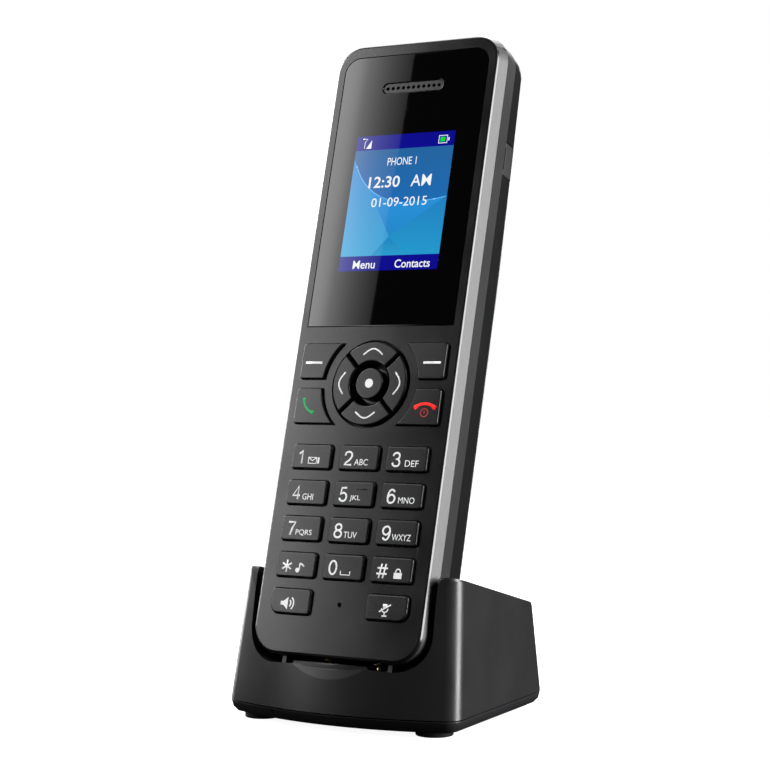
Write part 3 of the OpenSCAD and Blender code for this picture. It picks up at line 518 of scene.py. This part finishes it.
sixLine = [(0.9, 0.82), (0.75, 0.95), (0.5, 1.0), (0.25, 0.92), (0.08, 0.68), (0.03, 0.4), (0.08, 0.15),
        (0.28, 0.01),
           (0.55, 0.0), (0.8, 0.07), (0.96, 0.22), (0.96, 0.42), (0.8, 0.57), (0.52, 0.62), (0.25, 0.55),
           (0.06, 0.38)]
digitLines = {
    "1": [[(0.1, 0.76), (0.34, 0.83), (0.55, 1.0), (0.55, 0.0)]],
    "2": [[(0.04, 0.7), (0.1, 0.88), (0.28, 0.98), (0.5, 1.0), (0.75, 0.96), (0.92, 0.84), (0.95, 0.69),
            (0.86, 0.53),
           (0.6, 0.34), (0.25, 0.16), (0.04, 0.0), (0.98, 0.0)]],
    "3": [[(0.05, 0.76), (0.14, 0.92), (0.35, 1.0), (0.6, 1.0), (0.82, 0.93), (0.9, 0.78), (0.84, 0.63),
            (0.66, 0.54),
           (0.42, 0.53), (0.66, 0.53), (0.88, 0.44), (0.97, 0.28), (0.9, 0.1), (0.68, 0.0), (0.35, 0.0),
           (0.12, 0.08),
           (0.02, 0.25)]],
    "4": [[(0.72, 0.0), (0.72, 1.0), (0.02, 0.28), (1.0, 0.28)]],
    "5": [[(0.9, 1.0), (0.24, 1.0), (0.1, 0.5), (0.34, 0.61), (0.6, 0.62), (0.86, 0.52), (0.96, 0.32), (0.88,
            0.12),
           (0.65, 0.0), (0.35, 0.0), (0.12, 0.08), (0.03, 0.22)]],
    "6": [sixLine],
    "7": [[(0.03, 1.0), (0.97, 1.0), (0.62, 0.55), (0.38, 0.0)]],
    "8": [[(0.5 + 0.4 * x, 0.77 + 0.23 * y) for x, y in roundPoints(0, 0, 1, 0, 359, 20)],
          [(0.5 + 0.47 * x, 0.27 + 0.27 * y) for x, y in roundPoints(0, 0, 1, 0, 359, 20)]],
    "9": [[(1 - x, 1 - y) for x, y in sixLine]],
    "0": [[(0.5 + 0.47 * x, 0.5 + 0.5 * y) for x, y in roundPoints(0, 0, 1, 0, 359, 28)]],
}


def digitMarks(digit, left=-4.1, right=-1.85):
    return [("line", [(left + (right - left) * x, -1.95 + 3.45 * y) for x, y in line], 0.5)
            for line in digitLines[digit]]


def letterMark(word, left, right):
    return ("word", word, (left, right, -2.0, -0.35), 0.0)


chevron = [(-2.95, 7.7), (-1.6, 8.75), (-0.7, 9.2), (0, 9.32), (0.7, 9.2), (1.6, 8.75), (2.95, 7.7)]

# what is printed on each key, about the middle of the key
legends = {
    "key_1": digitMarks("1") + [
              ("loop", [(-0.8, -1.85), (1.7, -1.85), (1.7, -0.25), (-0.8, -0.25)], 0.26),
              ("line", [(-0.75, -0.3), (0.45, -1.15), (1.65, -0.3)], 0.26),
              ("patch", [(2.05, -1.85), (2.6, -1.85), (2.6, -0.25), (2.05, -0.25)])],
    "key_2": digitMarks("2") + [letterMark("ABC", -1.05, 3.05)],
    "key_3": digitMarks("3") + [letterMark("DEF", -0.3, 3.7)],
    "key_4": digitMarks("4") + [letterMark("GHI", -1.0, 2.3)],
    "key_5": digitMarks("5") + [letterMark("JKL", -0.9, 2.3)],
    "key_6": digitMarks("6") + [letterMark("MNO", -0.8, 4.0)],
    "key_7": digitMarks("7") + [letterMark("PQRS", -1.5, 3.5)],
    "key_8": digitMarks("8") + [letterMark("TUV", -1.2, 2.8)],
    "key_9": digitMarks("9") + [letterMark("WXYZ", -1.2, 4.4)],
    "key_star": [("line", [(-2.65, -2.1), (-2.65, 1.1)], 0.42), ("line", [(-4.05, -1.3), (-1.25, 0.3)], 0.42),
                 ("line", [(-4.05, 0.3), (-1.25, -1.3)], 0.42),
                 ("disc", (0.75, -1.45), 0.62), ("line", [(1.3, -1.45), (1.3, 0.3)], 0.3),
                 ("line", [(1.3, 0.3), (2.2, 0.0), (2.6, -0.5)], 0.42)],
    "key_0": digitMarks("0") + [("line", [(-0.5, -1.0), (-0.5, -1.95), (2.3, -1.95), (2.3, -1.0)], 0.28)],
    "key_hash": [("line", [(-3.5, -2.2), (-2.9, 1.5)], 0.42), ("line", [(-2.3, -2.2), (-1.7, 1.5)], 0.42),
                 ("line", [(-4.1, 0.4), (-1.05, 0.4)], 0.42), ("line", [(-4.25, -1.05), (-1.2, -1.05)], 0.42),
                 ("patch", [(0.9, -2.1), (3.2, -2.1), (3.2, -0.6), (0.9, -0.6)]),
                 ("line", [(1.4, -0.6)] + roundPoints(2.05, -0.3, 0.65, 180, 0, 10) + [(2.7, -0.6)], 0.32)],
    "speaker_key": [("patch", [(-2.9, -1.1), (-2.0, -1.1), (-0.7, -2.2), (-0.7, 0.95), (-2.0, -0.1), (-2.9,
            -0.1)]),
                    ("line", roundPoints(-0.9, -0.6, 1.15, -45, 45, 8), 0.4),
                    ("line", roundPoints(-0.9, -0.6, 2.0, -48, 48, 10), 0.4)],
    "mute_key": [("line", [(-0.35, 0.95), (-0.35, 0.0)], 1.3), ("line", [(-1.35, -0.2), (-1.0, -0.95),
            (-0.35, -1.2),
                                                                      (0.3, -0.95), (0.65, -0.2)], 0.3),
                 ("line", [(-0.35, -1.2), (-0.35, -2.0)], 0.3), ("line", [(-1.05, -2.1), (0.35, -2.1)], 0.32),
                 ("line", [(-1.95, -1.1), (1.3, 0.85)], 0.34)],
    "soft_key_left": [("line", [(-5.2, -0.5), (0.0, -0.5)], 0.62)],
    "soft_key_right": [("line", [(0.1, -0.5), (5.3, -0.5)], 0.62)],
}

callMarks = [("line", [(-4.1, 2.05), (-4.0, 1.1), (-3.4, -0.2), (-2.5, -1.1), (-1.4, -1.75), (-0.6, -2.0)],
        0.55),
             ("line", [(-4.12, 2.1), (-4.02, 1.25)], 0.95), ("line", [(-1.35, -1.72), (-0.55, -2.02)], 0.95)]
endMarks = [("line", [(-0.7, -0.35), (0.2, 0.3), (1.2, 0.7), (2.4, 0.85), (3.6, 0.7), (4.6, 0.3), (5.5,
        -0.35)], 0.75),
            ("line", [(-0.75, -0.38), (0.15, 0.2)], 1.1), ("line", [(4.65, 0.2), (5.55, -0.38)], 1.1)]
powerMarks = [("loop", roundPoints(2.4, -1.55, 1.05), 0.3), ("line", [(2.4, -1.9), (2.4, -1.1)], 0.3)]


def keyMiddle(name):
    low, high = handsetBox(name)
    return (low.x + high.x) / 2 / mm, (low.z + high.z) / 2 / mm, low.y / mm


for name, marks in legends.items():
    x, z, top = keyMiddle(name)
    printPiece(name + "_legend", marks, (x, z), top, legendWhite, bodyOf[name])
x, z, top = keyMiddle("call_key")
printPiece("call_key_legend", callMarks, (x, z), top, legendGreen, "call_key")
x, z, top = keyMiddle("end_key")
printPiece("end_key_legend", endMarks, (x, z), top, legendRed, "end_key")
printPiece("end_key_power", powerMarks, (x, z), top, legendDarkRed, "end_key")
x, z, top = keyMiddle("key_5")
printPiece("key_5_bar", [("line", [(1.0, 1.25), (3.9, 1.25)], 0.34)], (x, z), top,
           finishes["keys"], "key_5", 0.3)

navX, navZ, navTop = keyMiddle("nav_centre")
printPiece("nav_centre_legend", [("disc", (0, 0), 1.22)], (navX, navZ), navTop, legendWhite, "nav_centre")
for name, turns in {"nav_up": 0, "nav_left": 1, "nav_down": 2, "nav_right": 3}.items():
    points = chevron
    for step in range(turns):
        points = [(-y, x) for x, y in points]
    printPiece(name + "_legend", [("line", points, 0.4)], (navX, navZ), navTop, legendWhite, name)
print("legends printed")


# the lit display

lensLow = handsetBox("window_lens")[0]
moduleLow, moduleHigh = handsetBox("display_module")
display = {"rim": 2.8, "barHeight": 4.12, "lift": 0.02}
left = moduleLow.x / mm + display["rim"]
right = moduleHigh.x / mm - display["rim"]
foot = moduleLow.z / mm + display["rim"]
head = moduleHigh.z / mm - display["rim"]
glassFront = lensLow.y / mm


def onDisplay(s, t):
    # s across from the left, t down from the upper edge, both 0 to 1
    return left + (right - left) * s, head - (head - foot) * t


rise = (turnOnly.inverted() @ dockPoint).z      # where z = 0 of the handset lies in turned coordinates


def heights(t0, t1):
    return (rise + onDisplay(0, t1)[1] * mm, rise + onDisplay(0, t0)[1] * mm)


barShare = display["barHeight"] / (head - foot)
swoosh = [(0, 0.165), (0.03, 0.215), (0.06, 0.262), (0.10, 0.312), (0.15, 0.358), (0.2, 0.395), (0.26, 0.430),
          (0.32, 0.457), (0.4, 0.482), (0.5, 0.498), (0.6, 0.504), (0.7, 0.503), (0.8, 0.497), (0.9, 0.486),
          (1, 0.472)]
apex = (0.47, 0.755)
lowEnd = 1 - barShare
displayLayers = {
    "display_bars": {"lift": 0.02, "bottom": "0a0a8c", "top": "0a0a8c", "span": (0, 1), "shapes": [
        [(0, 0), (1, 0), (1, barShare), (0, barShare)], [(0, lowEnd), (1, lowEnd), (1, 1), (0, 1)]]},
    "display_sky": {"lift": 0.02, "bottom": "1c6ab2", "top": "24649e", "span": (barShare, 0.5), "shapes": [
        [(0, barShare), (1, barShare)] + swoosh[::-1]]},
    "display_left": {"lift": 0.02, "bottom": "3fa6d6", "top": "3389cc", "span": (0.16, lowEnd), "shapes": [
        swoosh[:6] + [apex, (0.31, lowEnd), (0, lowEnd)]]},
    "display_middle": {"lift": 0.02, "bottom": "2288c8", "top": "2c92de", "span": (0.4, 0.75), "shapes": [
        swoosh[5:] + [apex]]},
    "display_right": {"lift": 0.02, "bottom": "2398cc", "top": "2280c0", "span": (0.48, lowEnd), "shapes": [
        [(1, 0.472), (1, lowEnd), (0.67, lowEnd), apex]]},
    "display_foot": {"lift": 0.02, "bottom": "2a9ccc", "top": "1f82be", "span": (0.75, lowEnd), "shapes": [
        [apex, (0.67, lowEnd), (0.31, lowEnd)]]},
}
for name, look in displayLayers.items():
    if look["bottom"] == look["top"]:
        glow = evenGlow(name + "Glow", hexColour(look["top"]))
    else:
        glow = glowingLayer(name + "Glow", hexColour(look["bottom"]), hexColour(look["top"]),
                heights(*look["span"]))
    marks = [("patch", [onDisplay(s, t) for s, t in shape]) for shape in look["shapes"]]
    printPiece(name, marks, (0, 0), glassFront, glow, "handset", 2 * look["lift"])

gleam = glowingLayer("gleamGlow", hexColour("68b4f0"), hexColour("5aa8ea"), heights(0.16, 0.5))
gleamPoints = [onDisplay(s, t) for s, t in swoosh[:9]]
printPiece("display_gleam", [("line", [p for p in gleamPoints if p[0] > left + 0.2], 0.5)], (0, 0),
        glassFront,
           gleam, "handset", 0.05)
gleamRight = [onDisplay(s, t) for s, t in ((0.78, 0.503), (0.9, 0.492), (0.985, 0.48))]
printPiece("display_gleam_right", [("line", gleamRight, 0.45)], (0, 0), glassFront, gleam, "handset",
        0.05)

textGlow = evenGlow("textGlow", (0.9, 0.92, 0.95))
greenGlow = evenGlow("greenGlow", hexColour("18d838"))
displayWords = [
    ("word", "PHONE 1", (-4.6, 4.4, 132.1, 134.3), 0.0),
    ("word", "12:30", (-9.6, 0.1, 125.9, 129.1), 0.12),
    ("word", "AM", (3.6, 9.8, 125.9, 129.1), 0.04),
    ("word", "01-09-2015", (-7.9, 9.3, 120.5, 123.0), 0.0),
    ("word", "Menu", (-10.9, -4.0, 103.3, 105.6), 0.1),
    ("word", "Contacts", (2.1, 12.9, 103.3, 105.6), 0.1),
    ("line", [(-13.4, 140.1), (-11.9, 140.1), (-12.65, 139.2), (-12.65, 137.4)], 0.28),
    ("patch", [(-12.1, 137.3), (-10.5, 137.3), (-10.5, 139.7)]),
    ("loop", [(10.5, 137.6), (13.0, 137.6), (13.0, 139.7), (10.5, 139.7)], 0.34),
    ("line", [(13.5, 138.2), (13.5, 139.1)], 0.5),
]
printPiece("display_text", displayWords, (0, 0), glassFront, textGlow, "handset", 0.07)
printPiece("display_charge", [("patch", [(10.95, 138.0), (12.4, 138.0), (12.4, 139.3), (10.95, 139.3)])],
           (0, 0), glassFront, greenGlow, "handset", 0.07)
print("display lit")


# floor, lights and camera

camera = {"place": (0.28289, -0.46106, 0.09175), "tilt": 89.49, "turn": 31.68, "lens": 95.64}
cameraData = bpy.data.cameras.new("camera")
cameraData.sensor_width = 36
cameraData.lens = camera["lens"]
cameraData.clip_start = 0.01
cameraObject = bpy.data.objects.new("camera", cameraData)
scene.collection.objects.link(cameraObject)
cameraObject.location = camera["place"]
cameraObject.rotation_euler = (math.radians(camera["tilt"]), 0, math.radians(camera["turn"]))
scene.camera = cameraObject

# the paper glows a little less close to the object, a painted shade round it, between near and far metres from it
floor = {"size": 6.0, "glow": 0.93, "glowFar": 1.05, "near": 0.05, "far": 0.16, "shade": 0.5}
bm = bmesh.new()
bmesh.ops.create_grid(bm, x_segments=1, y_segments=1, size=floor["size"] / 2)
floorMesh = bpy.data.meshes.new("floor")
bm.to_mesh(floorMesh)
bm.free()
floorMat, floorTree, floorShader = startMaterial("floorPaper")
floorShader.inputs["Base Color"].default_value = (floor["shade"],) * 3 + (1,)
floorShader.inputs["Roughness"].default_value = 0.9
floorShader.inputs["Specular IOR Level"].default_value = 0.1
floorShader.inputs["Emission Color"].default_value = (1, 1, 1, 1)
floorCoords = floorTree.nodes.new("ShaderNodeTexCoord")
floorReach = floorTree.nodes.new("ShaderNodeVectorMath")
floorReach.operation = "LENGTH"
floorTree.links.new(floorCoords.outputs["Object"], floorReach.inputs[0])
# emission falls from glowFar to glow towards the object: painted shade on the floor
floorShadeRamp = floorTree.nodes.new("ShaderNodeMapRange")
floorShadeRamp.inputs["From Min"].default_value = floor["near"]
floorShadeRamp.inputs["From Max"].default_value = floor["far"]
floorShadeRamp.inputs["To Min"].default_value = floor["glow"]
floorShadeRamp.inputs["To Max"].default_value = floor["glowFar"]
floorTree.links.new(floorReach.outputs["Value"], floorShadeRamp.inputs["Value"])
floorTree.links.new(floorShadeRamp.outputs["Result"], floorShader.inputs["Emission Strength"])
floorMesh.materials.append(floorMat)
floorObject = linked("floor", floorMesh)
floorObject.visible_diffuse = False
floorObject.visible_glossy = False

world = bpy.data.worlds.new("studio")
scene.world = world
world.use_nodes = True
sky = world.node_tree
seen = sky.nodes["Background"]
seen.inputs["Color"].default_value = (1, 1, 1, 1)
seen.inputs["Strength"].default_value = 1.0
around = sky.nodes.new("ShaderNodeBackground")
around.inputs["Color"].default_value = (1, 1, 1, 1)
around.inputs["Strength"].default_value = 0.015
rays = sky.nodes.new("ShaderNodeLightPath")
either = sky.nodes.new("ShaderNodeMixShader")
sky.links.new(rays.outputs["Is Camera Ray"], either.inputs["Fac"])
sky.links.new(around.outputs["Background"], either.inputs[1])
sky.links.new(seen.outputs["Background"], either.inputs[2])
sky.links.new(either.outputs["Shader"], sky.nodes["World Output"].inputs["Surface"])


def softBox(name, lamp):
    light = bpy.data.lights.new(name, "AREA")
    light.shape = "RECTANGLE"
    light.size, light.size_y = lamp["size"]
    light.energy = lamp["power"]
    obj = bpy.data.objects.new(name, light)
    scene.collection.objects.link(obj)
    obj.location = lamp["place"]
    aimed = Vector(lamp["target"]) - Vector(lamp["place"])
    obj.rotation_euler = aimed.to_track_quat("-Z", "Y").to_euler()
    obj.visible_camera = False
    return obj


# the tall card on the left, whose edge shows as a slanting line in the window
card = {"distance": 0.22, "edgeTop": (-0.84, 163.8), "edgeBottom": (-2.97, 88.5), "reach": 0.085,
        "above": 0.06, "below": 0.17, "steps": [(0.0, 0.5), (0.1, 1.4), (0.2, 3.0), (0.35, 6.2), (0.6, 7.0),
                (1.0, 6.0)],
        "rampWidth": 0.075}


def seenFrom(point):
    # where the camera's ray goes after the window mirrors it at this point
    here = handsetTurn @ Vector((point[0] * mm, glassFront * mm, point[1] * mm))
    normal = (handsetTurn.to_3x3() @ Vector((0, -1, 0))).normalized()
    ray = (here - Vector(camera["place"])).normalized()
    return here, (ray - 2 * ray.dot(normal) * normal).normalized()


spots = [seenFrom(card["edgeBottom"]), seenFrom(card["edgeTop"])]
aim = (spots[0][1] + spots[1][1]).normalized()
middle = (spots[0][0] + spots[1][0]) / 2 + aim * card["distance"]
ends = [here + way * ((middle - here).dot(aim) / way.dot(aim)) for here, way in spots]
along = (ends[1] - ends[0]).normalized()
across = along.cross(aim).normalized()
if across.x > 0:
    across = -across
length = (ends[1] - ends[0]).length + card["above"] + card["below"]
cardMatrix = Matrix((across, along, across.cross(along))).transposed().to_4x4()
cardMatrix.translation = (ends[0] + ends[1]) / 2 + along * (card["above"] - card["below"]) / 2
bm = bmesh.new()
bmesh.ops.create_grid(bm, x_segments=1, y_segments=1, size=0.5)
bmesh.ops.scale(bm, vec=(card["reach"], length, 1), verts=bm.verts[:])
bmesh.ops.translate(bm, vec=(card["reach"] / 2, 0, 0), verts=bm.verts[:])
cardMesh = bpy.data.meshes.new("leftCard")
bm.to_mesh(cardMesh)
bm.free()
cardMat = bpy.data.materials.new("cardGlow")
cardMat.use_nodes = True
cardTree = cardMat.node_tree
cardTree.nodes.remove(cardTree.nodes["Principled BSDF"])
cardCoords = cardTree.nodes.new("ShaderNodeTexCoord")
cardSplit = cardTree.nodes.new("ShaderNodeSeparateXYZ")
cardRamp = cardTree.nodes.new("ShaderNodeMapRange")
cardRamp.inputs["From Max"].default_value = card["rampWidth"]
cardCurve = cardTree.nodes.new("ShaderNodeFloatCurve")
brightest = card["steps"][-1][1]
track = cardCurve.mapping.curves[0]
for spot, (u, value) in zip(track.points, (card["steps"][0], card["steps"][-1])):
    spot.location = (u, value / brightest)
for u, value in card["steps"][1:-1]:
    track.points.new(u, value / brightest)
cardCurve.mapping.update()
cardGain = cardTree.nodes.new("ShaderNodeMath")
cardGain.operation = "MULTIPLY"
cardGain.inputs[1].default_value = brightest
cardLight = cardTree.nodes.new("ShaderNodeEmission")
cardTree.links.new(cardCoords.outputs["Object"], cardSplit.inputs["Vector"])
cardTree.links.new(cardSplit.outputs["X"], cardRamp.inputs["Value"])
cardTree.links.new(cardRamp.outputs["Result"], cardCurve.inputs["Value"])
cardTree.links.new(cardCurve.outputs["Value"], cardGain.inputs[0])
cardTree.links.new(cardGain.outputs["Value"], cardLight.inputs["Strength"])
cardTree.links.new(cardLight.outputs["Emission"], cardTree.nodes["Material Output"].inputs["Surface"])
cardMesh.materials.append(cardMat)
cardObject = linked("leftCard", cardMesh)
cardObject.matrix_world = cardMatrix
cardObject.visible_camera = False
print("card at", [round(c, 3) for c in cardMatrix.translation], "length", round(length, 3))

# place and target in metres, size across and up, power in watts
lamps = {
    "rightStrip": {"place": (0.55, 0.10, 0.22), "target": (0.03, 0.0, 0.09), "size": (0.25, 0.6),
            "power": 10.0},
    "topBack": {"place": (-0.1, 0.45, 0.55), "target": (0, 0.01, 0.09), "size": (0.5, 0.4), "power": 1.8},
    "leftRim": {"place": (-0.5, 0.12, 0.25), "target": (-0.03, 0.0, 0.09), "size": (0.15, 0.5), "power": 5.0},
    "backFill": {"place": (-0.35, 0.70, 0.22), "target": (0, 0.02, 0.09), "size": (0.5, 0.6), "power": 3.0},
}
for name, lamp in lamps.items():
    softBox(name, lamp)
print("lights set")
